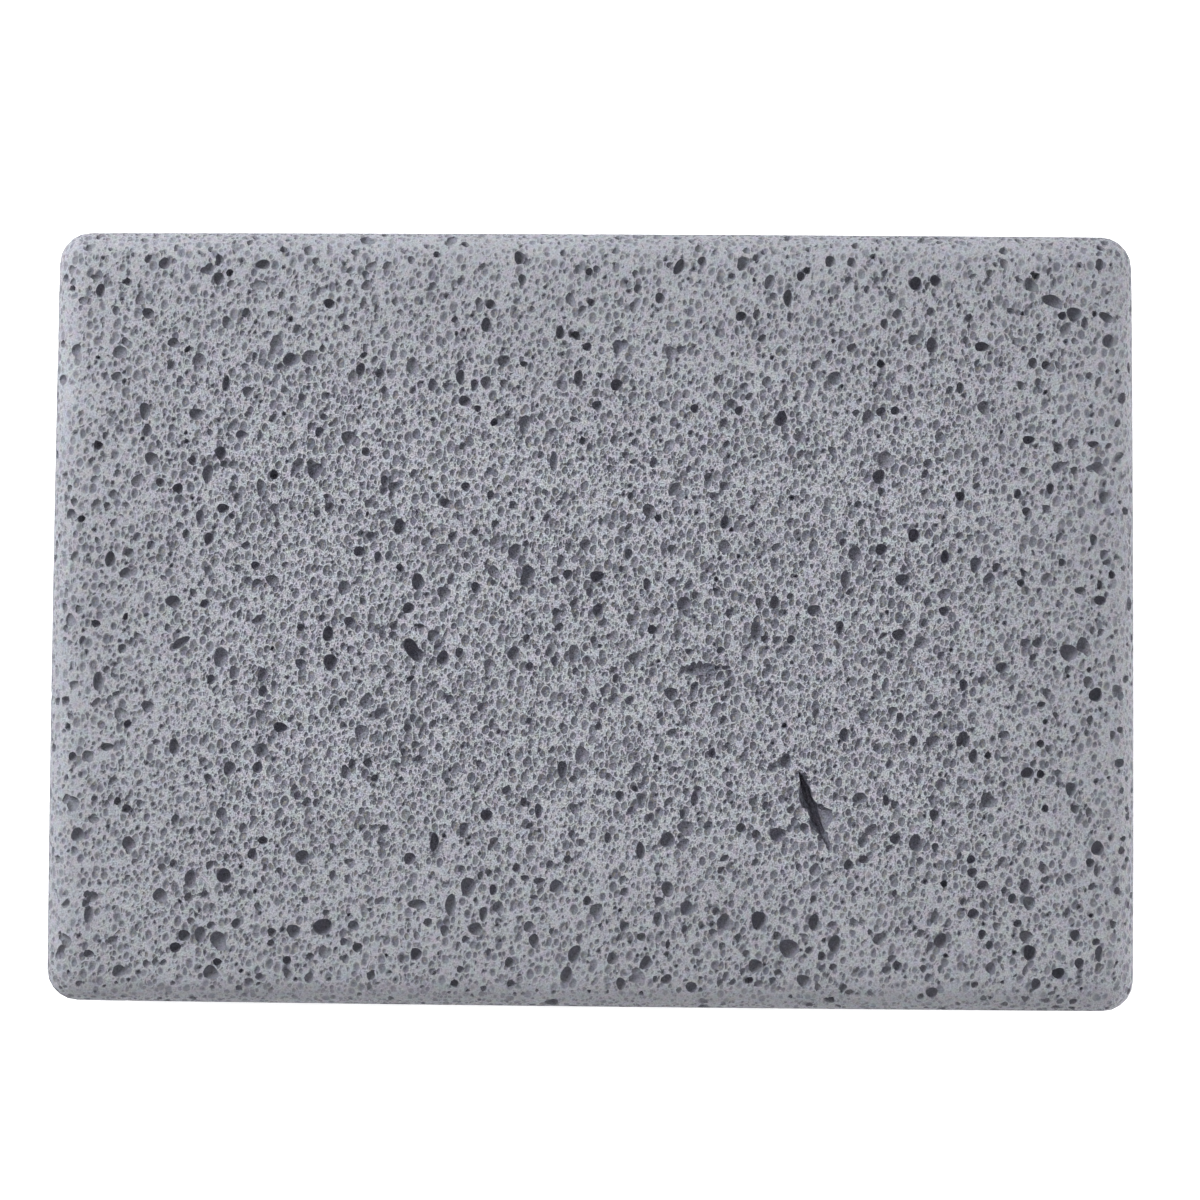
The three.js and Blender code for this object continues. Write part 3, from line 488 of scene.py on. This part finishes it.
def deselect_all():
    bpy.ops.object.select_all(action="DESELECT")


def choose(piece):
    deselect_all()
    piece.select_set(True)
    bpy.context.view_layer.objects.active = piece


def edit_all(piece):
    choose(piece)
    bpy.ops.object.mode_set(mode="EDIT")
    bpy.ops.mesh.select_all(action="SELECT")


def leave_edit():
    bpy.ops.object.mode_set(mode="OBJECT")


# Camera, floor and lights


def make_camera():
    frame_width = PHOTO_SIDE_PX / PX_PER_MM * MM
    away = frame_width * LENS_MM / SENSOR_MM
    right = (PHOTO_SIDE_PX / 2 - STONE_MIDDLE_PX[0]) / PX_PER_MM * MM
    up = (STONE_MIDDLE_PX[1] - PHOTO_SIDE_PX / 2) / PX_PER_MM * MM
    deselect_all()
    bpy.ops.object.camera_add(
        location=(right, up, OUTLINE_HEIGHT + away), rotation=(0, 0, PHOTO_TURN)
    )
    camera = bpy.context.object
    camera.data.lens = LENS_MM
    camera.data.sensor_width = SENSOR_MM
    camera.data.clip_start = NEAREST
    camera.data.clip_end = FARTHEST
    bpy.context.scene.camera = camera


def make_floor():
    deselect_all()
    bpy.ops.mesh.primitive_plane_add(size=FLOOR_SIDE, location=(0, 0, 0))
    floor = bpy.context.object
    floor.name = "studio_floor"
    surface = bpy.data.materials.new("floor_white")
    surface.use_nodes = True
    shader = surface.node_tree.nodes["Principled BSDF"]
    shader.inputs["Base Color"].default_value = FLOOR_COLOR
    shader.inputs["Roughness"].default_value = FLOOR_ROUGHNESS
    shader.inputs["Specular IOR Level"].default_value = FLOOR_SHEEN_LEVEL
    shader.inputs["Emission Color"].default_value = FLOOR_COLOR
    shader.inputs["Emission Strength"].default_value = FLOOR_GLOW
    floor.data.materials.append(surface)


def soft_light(name, place, size, power, color):
    """A round light that shines at the middle of the floor."""
    deselect_all()
    bpy.ops.object.light_add(type="AREA", location=place)
    light = bpy.context.object
    light.name = name
    light.data.shape = "DISK"
    light.data.size = size
    light.data.energy = power
    light.data.color = color
    light.rotation_euler = (-Vector(place)).to_track_quat("-Z", "Y").to_euler()


def make_lights():
    for light in LIGHTS:
        soft_light(*light)
    world = bpy.data.worlds.new("studio_air")
    bpy.context.scene.world = world
    world.use_nodes = True
    air = world.node_tree.nodes["Background"]
    air.inputs["Color"].default_value = AIR_COLOR
    air.inputs["Strength"].default_value = AIR_LIGHT
    bpy.context.scene.view_settings.view_transform = "Standard"
    bpy.context.scene.view_settings.look = "None"


# The block


def fall_share(share):
    return (np.maximum(0.0, np.abs(share) - TOP_FALL_FROM) / (1 - TOP_FALL_FROM)) ** 2


def uneven(points):
    """The places on the uneven block of points on the square, rounded one."""
    x, y, z = points.T
    along = x / (LENGTH / 2)
    across = y / (WIDTH / 2)
    up = z / HEIGHT
    fall = fall_share(along) + fall_share(across)
    return np.column_stack(
        [
            x * (1 - LENGTH_TAPER * y / WIDTH) + along * END_SWELL * (1 - across**2),
            y * (1 + WIDTH_TAPER * x / LENGTH) + across * SIDE_SWELL * (1 - along**2),
            z - TOP_FALL * fall * up**2,
        ]
    )


def points_of(mesh):
    flat = np.empty(len(mesh.vertices) * 3, dtype=np.float32)
    mesh.vertices.foreach_get("co", flat)
    return flat.reshape(-1, 3).astype(float)


def set_points(mesh, points):
    mesh.vertices.foreach_set("co", points.astype(np.float32).ravel())
    mesh.update()


def slice_along(axis, reach):
    """Cuts the selected block across an axis, every SLICE of it."""
    normal = [0, 0, 0]
    normal[axis] = 1
    steps = max(2, round(2 * reach / SLICE))
    for step in range(1, steps):
        place = [0, 0, HEIGHT / 2]
        place[axis] += reach * (2 * step / steps - 1)
        bpy.ops.mesh.select_all(action="SELECT")
        bpy.ops.mesh.bisect(plane_co=place, plane_no=normal)


def make_block():
    """The block with its rounded edges, fitted to the CAD node's box."""
    deselect_all()
    bpy.ops.mesh.primitive_cube_add(
        size=1, location=(0, 0, HEIGHT / 2), scale=(LENGTH, WIDTH, HEIGHT)
    )
    block = bpy.context.object
    block.name = PIECE
    block.data.name = PIECE
    bpy.ops.object.transform_apply(location=True, rotation=True, scale=True)
    edit_all(block)
    bpy.ops.mesh.bevel(offset=EDGE_RADIUS, segments=EDGE_SEGMENTS, affect="EDGES")
    for axis, side in enumerate((LENGTH, WIDTH, HEIGHT)):
        slice_along(axis, side / 2 - EDGE_RADIUS)
    leave_edit()
    points = uneven(points_of(block.data))
    low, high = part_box(NODE)
    own_low, own_high = points.min(axis=0), points.max(axis=0)
    stretch = (np.array(high) - np.array(low)) / (own_high - own_low)
    set_points(block.data, np.array(low) + (points - own_low) * stretch)
    return block


def skin_of(block):
    """The block's surface as it is now, for finding places on it."""
    builder = bmesh.new()
    builder.from_mesh(block.data)
    skin = BVHTree.FromBMesh(builder)
    builder.free()
    return skin


# The bubbles that are cut


def modelled_bubble(name, sides, rings):
    """One bubble as a closed solid with its mouth on z = 0: rings of radius and height, and a point."""
    deselect_all()
    radius, height = rings[0]
    bpy.ops.mesh.primitive_circle_add(
        vertices=sides, radius=radius, fill_type="NGON", location=(0, 0, 0)
    )
    bubble = bpy.context.object
    bubble.name = name
    edit_all(bubble)
    bpy.ops.transform.translate(value=(0, 0, height))
    for next_radius, next_height in rings[1:]:
        bpy.ops.mesh.extrude_region_move(
            TRANSFORM_OT_translate={"value": (0, 0, next_height - height)}
        )
        if next_radius > 0:
            share = next_radius / radius
            bpy.ops.transform.resize(value=(share, share, 1))
        else:
            bpy.ops.mesh.merge(type="CENTER")
        radius, height = next_radius, next_height
    bpy.ops.mesh.select_all(action="SELECT")
    bpy.ops.mesh.normals_make_consistent(inside=False)
    leave_edit()
    return bubble


def columns_of(angles):
    """The number of the column that each corner stands in, for corners in these directions."""
    parts = np.round(angles / (2 * math.pi) * TURN_PARTS).astype(int)
    return np.unique(parts, return_inverse=True)[1]


def joined_copies(name, shape, spots, rng):
    """Copies of one modelled bubble at all its spots, joined in one mesh."""
    shape_points = points_of(shape.data)
    count = len(shape_points)
    angles = np.arctan2(shape_points[:, 1], shape_points[:, 0])
    column = columns_of(angles)
    faces = [list(face.vertices) for face in shape.data.polygons]
    points = np.empty((len(spots) * count, 3))
    polygons = []
    darkness = []
    for number, spot in enumerate(spots):
        turns = rng.uniform(0, 2 * math.pi, 2)
        bulges = TWO_BULGES * np.cos(2 * angles + turns[0])
        bulges = bulges + THREE_BULGES * np.cos(3 * angles + turns[1])
        bulges += CHANCE_BULGES * rng.uniform(-1, 1, column.max() + 1)[column]
        sized = shape_points * [spot["long"] / 2, spot["short"] / 2, spot["depth"]]
        sized[:, :2] *= (1 + spot["ragged"] * bulges)[:, None]
        axes = np.array([spot["along"], spot["normal"].cross(spot["along"]), spot["normal"]])
        first = number * count
        points[first : first + count] = sized @ axes + np.array(spot["place"])
        polygons.extend([[first + corner for corner in face] for face in faces])
        darkness.extend([spot["dark"]] * len(faces))
    mesh = bpy.data.meshes.new(name)
    mesh.from_pydata(points.tolist(), [], polygons)
    mesh.attributes.new("dark", "FLOAT", "FACE").data.foreach_set("value", darkness)
    copies = bpy.data.objects.new(name, mesh)
    bpy.context.collection.objects.link(copies)
    return copies


def cut(block, cutter):
    choose(block)
    modifier = block.modifiers.new("cut", "BOOLEAN")
    modifier.operation = "DIFFERENCE"
    modifier.solver = "MANIFOLD"
    modifier.object = cutter
    bpy.ops.object.modifier_apply(modifier=modifier.name)
    bpy.data.objects.remove(cutter)


def laid_out(x, y):
    """A place of the top face's layout, in millimetres, in the block's own axes."""
    across = x * math.cos(LAYOUT_TURN) - y * math.sin(LAYOUT_TURN) + LAYOUT_MIDDLE_MM[0]
    up = x * math.sin(LAYOUT_TURN) + y * math.cos(LAYOUT_TURN) + LAYOUT_MIDDLE_MM[1]
    return across * MM, up * MM


def narrow_down(down, share):
    """Extrudes the selected outline downwards and narrows it."""
    bpy.ops.mesh.extrude_region_move(TRANSFORM_OT_translate={"value": (0, 0, -down)})
    bpy.ops.transform.resize(value=(share, share, 1))


def make_break(name, outline, depth, dark):
    """A ragged hole of the given outline that narrows to its floor."""
    deselect_all()
    bpy.ops.mesh.primitive_circle_add(vertices=len(outline), fill_type="NGON")
    broken = bpy.context.object
    broken.name = name
    rim = np.array([(*laid_out(x, y), HEIGHT + RIM_RISE) for x, y in outline])
    set_points(broken.data, rim)
    edit_all(broken)
    narrow_down(RIM_RISE + BEND_DEPTH_SHARE * depth, BEND_WIDTH_SHARE)
    narrow_down((1 - BEND_DEPTH_SHARE) * depth, FLOOR_WIDTH_SHARE)
    bpy.ops.mesh.select_all(action="SELECT")
    bpy.ops.mesh.normals_make_consistent(inside=False)
    leave_edit()
    broken.data.attributes.new("dark", "FLOAT", "FACE").data.foreach_set(
        "value", [dark] * len(broken.data.polygons)
    )
    return broken


def picked_spot(skin, x, y, long, short, lean, depth, dark):
    place, _, _, _ = skin.ray_cast(Vector((*laid_out(x, y), 2 * HEIGHT)), Vector((0, 0, -1)))
    turn = math.radians(lean)
    return {
        "place": place,
        "normal": Vector((0, 0, 1)),
        "along": Vector((math.cos(turn), math.sin(turn), 0)),
        "long": long * MM,
        "short": short * MM,
        "depth": depth * PICKED_DEPTH_SHARE * MM,
        "dark": dark,
        "ragged": PICKED_RAGGED,
        "shape": "picked" if long >= PICKED_FROM_MM else "broad",
    }


def picked_spots(skin):
    """The bubbles that stand out, set on the block's top."""
    spots = [picked_spot(skin, *bubble) for bubble in TOP_BUBBLES]
    for x, y, long, short, lean, dark in SMALL_TOP_BUBBLES + GOUGE_BUBBLES + GASH_BUBBLES:
        depth = short * (SMALL_DEPTH + SMALL_DEPTH_BY_DARK * dark)
        spots.append(picked_spot(skin, x, y, long, short, lean, depth, dark))
    return spots


def triangles_of(mesh):
    """The corners of a mesh's triangles, in an order that depends only on where they are, because a
    bevelled block has its faces in another order at each run."""
    mesh.calc_loop_triangles()
    corners = np.empty(len(mesh.loop_triangles) * 3, dtype=np.int32)
    mesh.loop_triangles.foreach_get("vertices", corners)
    points = points_of(mesh)
    by_place = np.lexsort(points.T)
    corners = np.argsort(by_place)[corners].reshape(-1, 3)
    turns = (corners.argmin(axis=1)[:, None] + np.arange(3)) % 3
    corners = np.take_along_axis(corners, turns, axis=1)
    corners = corners[np.lexsort(corners.T)]
    return points[by_place][corners]


def random_places(block, rng, count):
    """Points spread evenly over the block's surface, their outward directions, and its area."""
    triangles = triangles_of(block.data)
    a, b, c = triangles[:, 0], triangles[:, 1], triangles[:, 2]
    crossed = np.cross(b - a, c - a)
    areas = np.linalg.norm(crossed, axis=1)
    chosen = rng.choice(len(areas), size=count, p=areas / areas.sum())
    u, v = np.sqrt(rng.random(count)), rng.random(count)
    weights = np.column_stack([1 - u, u * (1 - v), u * v])
    places = np.einsum("ij,ijk->ik", weights, triangles[chosen])
    return places, crossed[chosen] / areas[chosen][:, None], areas.sum() / 2


class Crowd:
    """Round places set so far, kept by cell so that a new one is only compared with its neighbours."""

    def __init__(self):
        self.cells = {}

    def cell(self, place):
        return tuple(int(math.floor(value / CELL)) for value in place)

    def touches(self, place, reach):
        near = self.cell(place)
        for away in itertools.product((-1, 0, 1), repeat=3):
            key = tuple(here + step for here, step in zip(near, away))
            for other, other_reach in self.cells.get(key, ()):
                if (other - place).length < reach + other_reach:
                    return True
        return False

    def add(self, place, reach):
        self.cells.setdefault(self.cell(place), []).append((place, reach))


def share_here(normal):
    """The share of the top face's bubbles that a face with this outward direction has."""
    if normal.z < -FACING:
        return UNDER_SHARE
    if normal.z < FACING:
        return SIDE_SHARE
    return 1.0


def grain_along(normal):
    """The grain's direction on a face with this outward direction."""
    grain = GRAIN_DIRECTION - normal * GRAIN_DIRECTION.dot(normal)
    if grain.length < GRAIN_LEAST:
        grain = normal.orthogonal()
    grain.normalize()
    return grain


def scattered_spot(place, normal, long, short, shape, draws, rng):
    grain = grain_along(normal)
    lean = rng.normal(0, LEAN_SPREAD)
    along = grain * math.cos(lean) + normal.cross(grain) * math.sin(lean)
    deep = draws[3] < DEEP_SHARE
    least_depth, more_depth = DEEP_DEPTH if deep else SHALLOW_DEPTH
    least_dark, more_dark = DEEP_DARK if deep else SHALLOW_DARK
    return {
        "place": place,
        "normal": normal,
        "along": along.normalized(),
        "long": long,
        "short": short,
        "depth": short * (least_depth + more_depth * draws[4]),
        "dark": least_dark + more_dark * draws[5],
        "ragged": RAGGED,
        "shape": shape,
    }


def run_together(spot, rng):
    """A second, smaller bubble that opens into one."""
    lean = rng.uniform(0, 2 * math.pi)
    across = spot["normal"].cross(spot["along"])
    away = spot["along"] * math.cos(lean) * spot["long"] + across * math.sin(lean) * spot["short"]
    second = dict(spot)
    second["place"] = spot["place"] + away * rng.uniform(*SECOND_AWAY)
    share = rng.uniform(*SECOND_SIZE)
    for measure in ("long", "short", "depth"):
        second[measure] = spot[measure] * share
    second["shape"] = "middling" if spot["shape"] == "broad" else "small"
    return second


def clearance(long, short):
    """How far from its middle a bubble keeps others away."""
    return SPACING * (long + short) / 4


def scattered_spots(block, picked, rng):
    """The other bubbles, at random, clear of the ones that stand out."""
    crowd = Crowd()
    for spot in picked:
        crowd.add(spot["place"], clearance(spot["long"], spot["short"]))
    spots = []
    for density, least, greatest, shape in BUBBLE_KINDS:
        area_mm2 = random_places(block, rng, 1)[2] / MM**2
        wanted = int(density * area_mm2)
        places, normals, _ = random_places(block, rng, TRIES * wanted)
        done = 0
        for place, normal in zip(places, normals):
            if done == wanted:
                break
            place, normal = Vector(place), Vector(normal)
            draws = rng.random(DRAWS)
            long = (least + (greatest - least) * draws[0] ** SMALL_LEANING) * MM
            short = long * (1 - NARROWEST * draws[1])
            reach = clearance(long, short)
            if crowd.touches(place, reach):
                continue
            done += 1
            if draws[2] > share_here(normal):
                continue
            crowd.add(place, reach)
            spots.append(scattered_spot(place, normal, long, short, shape, draws, rng))
            if shape != "small" and rng.random() < MERGED_SHARE:
                spots.append(run_together(spots[-1], rng))
    return spots


def layered(spots):
    """The spots in layers, so that no two bubbles of a layer touch."""
    layers = []
    for spot in spots:
        reach = COPY_REACH * spot["long"] * (1 + spot["ragged"]) + COPY_GAP
        if spot["shape"] == "small":
            reach *= SMALL_COPY_FLARE
        for layer, crowd in layers:
            if not crowd.touches(spot["place"], reach):
                break
        else:
            layer, crowd = [], Crowd()
            layers.append((layer, crowd))
        layer.append(spot)
        crowd.add(spot["place"], reach)
    return [layer for layer, _ in layers]


def cut_bubbles(block, spots, shapes, rng):
    for number, layer in enumerate(layered(spots)):
        for kind, shape in shapes.items():
            chosen = [spot for spot in layer if spot["shape"] == kind]
            if chosen:
                cut(block, joined_copies(f"{kind}_cutters_{number}", shape, chosen, rng))


def crease_rims(block):
    """Smooth bubble walls that meet the block's own faces in a crease."""
    choose(block)
    bpy.ops.object.shade_smooth_by_angle(angle=CREASE_ANGLE)
    builder = bmesh.new()
    builder.from_mesh(block.data)
    dark = builder.faces.layers.float["dark"]
    for edge in builder.edges:
        first, second = edge.link_faces
        if (first[dark] > 0) != (second[dark] > 0):
            edge.smooth = False
    builder.to_mesh(block.data)
    builder.free()


def mark_inset(block, skin):
    """Stores at each vertex how far inside the uncut block it lies, in millimetres."""
    mesh = block.data
    insets = [skin.find_nearest(vertex.co)[3] / MM for vertex in mesh.vertices]
    mesh.attributes.new("inset", "FLOAT", "POINT").data.foreach_set("value", insets)


def side_of(place, middle, half):
    """The axis and direction of the block's side that a place is nearest to."""
    gaps = half - np.abs(place - middle)
    axis = int(np.argmin(gaps))
    return axis, 1 if place[axis] > middle[axis] else -1


def lay_out_charts(block):
    """Lays the block's sides out flat on the map that the looks are baked through."""
    mesh = block.data
    points = points_of(mesh)
    low, high = points.min(axis=0), points.max(axis=0)
    middle, half = (low + high) / 2, (high - low) / 2
    while mesh.uv_layers:
        mesh.uv_layers.remove(mesh.uv_layers[0])
    layer = mesh.uv_layers.new(name="OFBake")
    spread = np.empty((len(mesh.loops), 2), dtype=np.float32)
    for face in mesh.polygons:
        corners = list(face.vertices)
        across, up, left, bottom = CHARTS[side_of(np.array(face.center), middle, half)]
        first = face.loop_start
        spread[first : first + len(corners), 0] = points[corners, across] - low[across] + left
        spread[first : first + len(corners), 1] = points[corners, up] - low[up] + bottom
    layer.data.foreach_set("uv", ((spread + CHART_GAP) / SHEET).ravel())


# The material


class Shader:
    """Builds a material's nodes from Python expressions on their sockets."""

    def __init__(self, name):
        self.material = bpy.data.materials.new(name)
        self.material.use_nodes = True
        self.tree = self.material.node_tree
        self.surface = self.tree.nodes["Principled BSDF"]

    def node(self, kind, settings=None, output=0, **sockets):
        """A node of a kind. Its sockets go by name, or as _0, _1 and so on by number."""
        made = self.tree.nodes.new(kind)
        for key, value in (settings or {}).items():
            setattr(made, key, value)
        for key, value in sockets.items():
            socket = made.inputs[int(key[1:]) if key.startswith("_") else key.replace("_", " ")]
            self.feed(socket, value)
        return Socket(self, made.outputs[output])

    def feed(self, socket, value):
        if isinstance(value, Socket):
            self.tree.links.new(value.output, socket)
        else:
            socket.default_value = value

    def math(self, operation, first, second=0.0):
        return self.node("ShaderNodeMath", {"operation": operation}, _0=first, _1=second)

    def vector(self, operation, first, second):
        return self.node("ShaderNodeVectorMath", {"operation": operation}, _0=first, _1=second)

    def mix(self, factor, first, second):
        return self.node(
            "ShaderNodeMix", {"data_type": "RGBA"}, output=2, _0=factor, _6=first, _7=second
        )

    def step(self, value, low, high):
        """A smooth step from 0 at low to 1 at high."""
        return self.node(
            "ShaderNodeMapRange",
            {"interpolation_type": "SMOOTHSTEP"},
            Value=value,
            From_Min=low,
            From_Max=high,
        )


class Socket:
    """An output socket with arithmetic."""

    def __init__(self, shader, output):
        self.shader = shader
        self.output = output

    def __add__(self, other):
        return self.shader.math("ADD", self, other)

    def __radd__(self, other):
        return self.shader.math("ADD", other, self)

    def __sub__(self, other):
        return self.shader.math("SUBTRACT", self, other)

    def __rsub__(self, other):
        return self.shader.math("SUBTRACT", other, self)

    def __mul__(self, other):
        return self.shader.math("MULTIPLY", self, other)

    def __rmul__(self, other):
        return self.shader.math("MULTIPLY", other, self)

    def __truediv__(self, other):
        return self.shader.math("DIVIDE", self, other)

    def beside(self, name):
        """Another output of the same node."""
        return Socket(self.shader, self.output.node.outputs[name])

    def part(self, index):
        """One of the three numbers of a vector or colour."""
        parts = self.shader.tree.nodes.new("ShaderNodeSeparateXYZ")
        self.shader.tree.links.new(self.output, parts.inputs[0])
        return Socket(self.shader, parts.outputs[index])


def noise(shader, place_mm, per_mm, detail, output="Fac"):
    return shader.node(
        "ShaderNodeTexNoise", output=output, Vector=place_mm, Scale=per_mm, Detail=detail
    )


def marks_of(shader, name):
    """The marks stored on the mesh under a name."""
    return shader.node("ShaderNodeAttribute", {"attribute_name": name}, output="Fac")


def gap_to_edge(shader, place):
    """How far a point of the block's surface is from the nearest of the block's edges."""
    half = (LENGTH / 2, WIDTH / 2, HEIGHT / 2)
    centred = shader.vector("SUBTRACT", place, (0, 0, HEIGHT / 2))
    gaps = [half[axis] - shader.math("ABSOLUTE", centred.part(axis)) for axis in range(3)]
    least = shader.math("MINIMUM", gaps[0], gaps[1])
    greater = shader.math("MAXIMUM", gaps[0], gaps[1])
    return shader.math("MAXIMUM", least, shader.math("MINIMUM", greater, gaps[2]))


def cut_spheres(shader, place_mm, per_mm, least, spread):
    """Round bubbles cut across by the surface: how far inside one a point is, from 0 at its rim to 1
    at its middle, and the bubble's own random draws."""
    distance = shader.node(
        "ShaderNodeTexVoronoi",
        {"voronoi_dimensions": "3D", "feature": "F1"},
        output="Distance",
        Vector=place_mm,
        Scale=per_mm,
        Randomness=SCATTER,
    )
    draws = distance.beside("Color")
    radius = least + spread * draws.part(0)
    return 1 - distance / radius, draws


def fine_bubbles(shader, place_mm, rubbed):
    """The bubbles too fine to cut: how dark the surface is with them, how deep they are in millimetres,
    where their rims run, and the draws of the finest."""
    pitted, hollow, plain = 0.0, 0.0, 0.0
    for per_mm, least, spread, softness, darkness, dark_spread, depth, rubbed_off in FINE_BUBBLES:
        inside, draws = cut_spheres(shader, place_mm, per_mm, least, spread)
        shade = shader.step(inside, 0.0, softness + RUBBED_SOFTNESS * rubbed)
        shade = shade * (darkness + dark_spread * draws.part(1)) * (1 - rubbed_off * rubbed)
        pitted = shader.math("MAXIMUM", pitted, (1 - plain) * shade)
        hollow = shader.math("MAXIMUM", hollow, (1 - plain) * inside * depth)
        plain = shader.math("MAXIMUM", plain, shader.step(inside, PLAIN_FROM, PLAIN_TO))
    return pitted, hollow, plain, draws


def drawn_out(shader, place_mm, waves):
    """The places bent by the waves and drawn together along the grain, so that bubbles come out long."""
    return shader.node(
        "ShaderNodeMapping",
        {"vector_type": "TEXTURE"},
        Vector=shader.vector("ADD", place_mm, shader.vector("MULTIPLY", waves, (WANDER,) * 3)),
        Rotation=(0, 0, -PIT_LEAN),
        Scale=(1.0, PIT_LENGTH, 1.0),
    )


def make_foam():
    shader = Shader("pumice_foam_surface")
    place = shader.node("ShaderNodeTexCoord", output="Object")
    place_mm = shader.vector("MULTIPLY", place, (1 / MM,) * 3)
    waves = noise(shader, place_mm, WAVES_PER_MM, WAVE_DETAIL, "Color")
    waves = shader.vector("SUBTRACT", waves, (NOISE_MIDDLE,) * 3)
    grain = noise(shader, place_mm, GRAINS_PER_MM, GRAIN_DETAIL)
    patches = noise(shader, place_mm, PATCHES_PER_MM, GRAIN_DETAIL)

    dark, inset = marks_of(shader, "dark"), marks_of(shader, "inset")
    in_bubble = shader.step(inset, 0.0, BUBBLE_EDGE_MM)
    gap = gap_to_edge(shader, place)
    worn = 1 - shader.step(gap, 0.0, WORN_MM * MM)
    rubbed = 1 - shader.step(gap, 0.0, RUBBED_MM * MM)
    stretched = drawn_out(shader, place_mm, waves)
    pitted, hollow, plain, draws = fine_bubbles(shader, stretched, rubbed)
    pitted = pitted * (1 - (1 - PITS_IN_BUBBLES) * in_bubble) * (1 - (1 - PITS_ON_EDGES) * worn)
    pitted = pitted * (1 - RUBBED_PITS_LIGHT * rubbed)
    hollow = hollow * (1 - (1 - HOLLOWS_IN_BUBBLES) * in_bubble)
    hollow = hollow * (1 - (1 - HOLLOWS_ON_EDGES) * worn) * (1 - RUBBED_SHALLOW * rubbed)

    lighter = 1 - RUBBED_LIGHT * rubbed
    # Inside the cut bubbles the colour darkens: partly the glassy walls' own grey, partly painted shade.
    cut_dark_and_shade = in_bubble * (CUT_LEAST + (1 - CUT_LEAST) * shader.step(dark, *CUT_FULL_BETWEEN))
    cut_dark_and_shade = cut_dark_and_shade * (1 - CUT_OFF_ON_EDGES * worn) * lighter
    deep = shader.step(dark, *DEEP_BETWEEN) * shader.step(inset, *DEEP_BETWEEN_MM) * lighter
    warm = shader.step(draws.part(2), WARM_FROM, WARM_TO) * WARMTH
    # The fine bubbles' colour: partly the walls' own darker grey, partly painted shade in their hollows.
    color = shader.mix(pitted, RIM_COLOR, shader.mix(warm, WALL_AND_SHADE_COLOR, WARM_COLOR))
    color = shader.mix(cut_dark_and_shade * (1 - CUT_OFF_ON_PITS * pitted), color, CUT_WALL_AND_SHADE_COLOR)
    color = shader.mix(deep, color, DEEP_COLOR)

    tone = TONE + GRAIN_CONTRAST * (grain - NOISE_MIDDLE) * (1 - RUBBED_GRAIN * rubbed)
    # The plain rims round the fine bubbles are lightened as a painted highlight.
    tone = tone + PATCH_CONTRAST * patches + RIM_HIGHLIGHT * (1 - pitted) * plain * (1 - rubbed)
    tone = tone - RUBBED_SHADE * rubbed
    tinted = shader.vector("ADD", shader.vector("MULTIPLY", waves, (TINT,) * 3), (1, 1, 1))
    color = shader.node(
        "ShaderNodeVectorMath",
        {"operation": "SCALE"},
        Vector=shader.vector("MULTIPLY", color, tinted),
        Scale=tone,
    )
    height = grain * GRAIN_HEIGHT_MM - hollow
    bump = shader.node("ShaderNodeBump", Strength=1.0, Distance=MM, Height=height)

    shader.feed(shader.surface.inputs["Base Color"], color)
    shader.feed(shader.surface.inputs["Normal"], bump)
    shader.feed(shader.surface.inputs["Roughness"], ROUGHNESS - CUT_SMOOTHER * cut_dark_and_shade)
    shader.surface.inputs["Specular IOR Level"].default_value = SHEEN_LEVEL
    return shader.material


def make_stone():
    block = make_block()
    uncut = block.copy()
    uncut.data = block.data.copy()
    skin = skin_of(uncut)
    rng = np.random.default_rng(SEED)
    shapes = {
        kind: modelled_bubble(f"{kind}_bubble", sides, rings)
        for kind, (sides, rings) in BUBBLE_SHAPES.items()
    }
    cut(block, make_break("gash", GASH, GASH_DEPTH, GASH_DARK))
    cut(block, make_break("crack", CRACK, CRACK_DEPTH, CRACK_DARK))
    picked = picked_spots(skin)
    cut_bubbles(block, picked + scattered_spots(uncut, picked, rng), shapes, rng)
    for helper in (*shapes.values(), uncut):
        bpy.data.objects.remove(helper)
    mark_inset(block, skin)
    lay_out_charts(block)
    block.data.materials.clear()
    block.data.materials.append(make_foam())
    crease_rims(block)
    return block


make_camera()
make_floor()
make_lights()
stone = make_stone()
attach(stone, "root")
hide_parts(NODE)
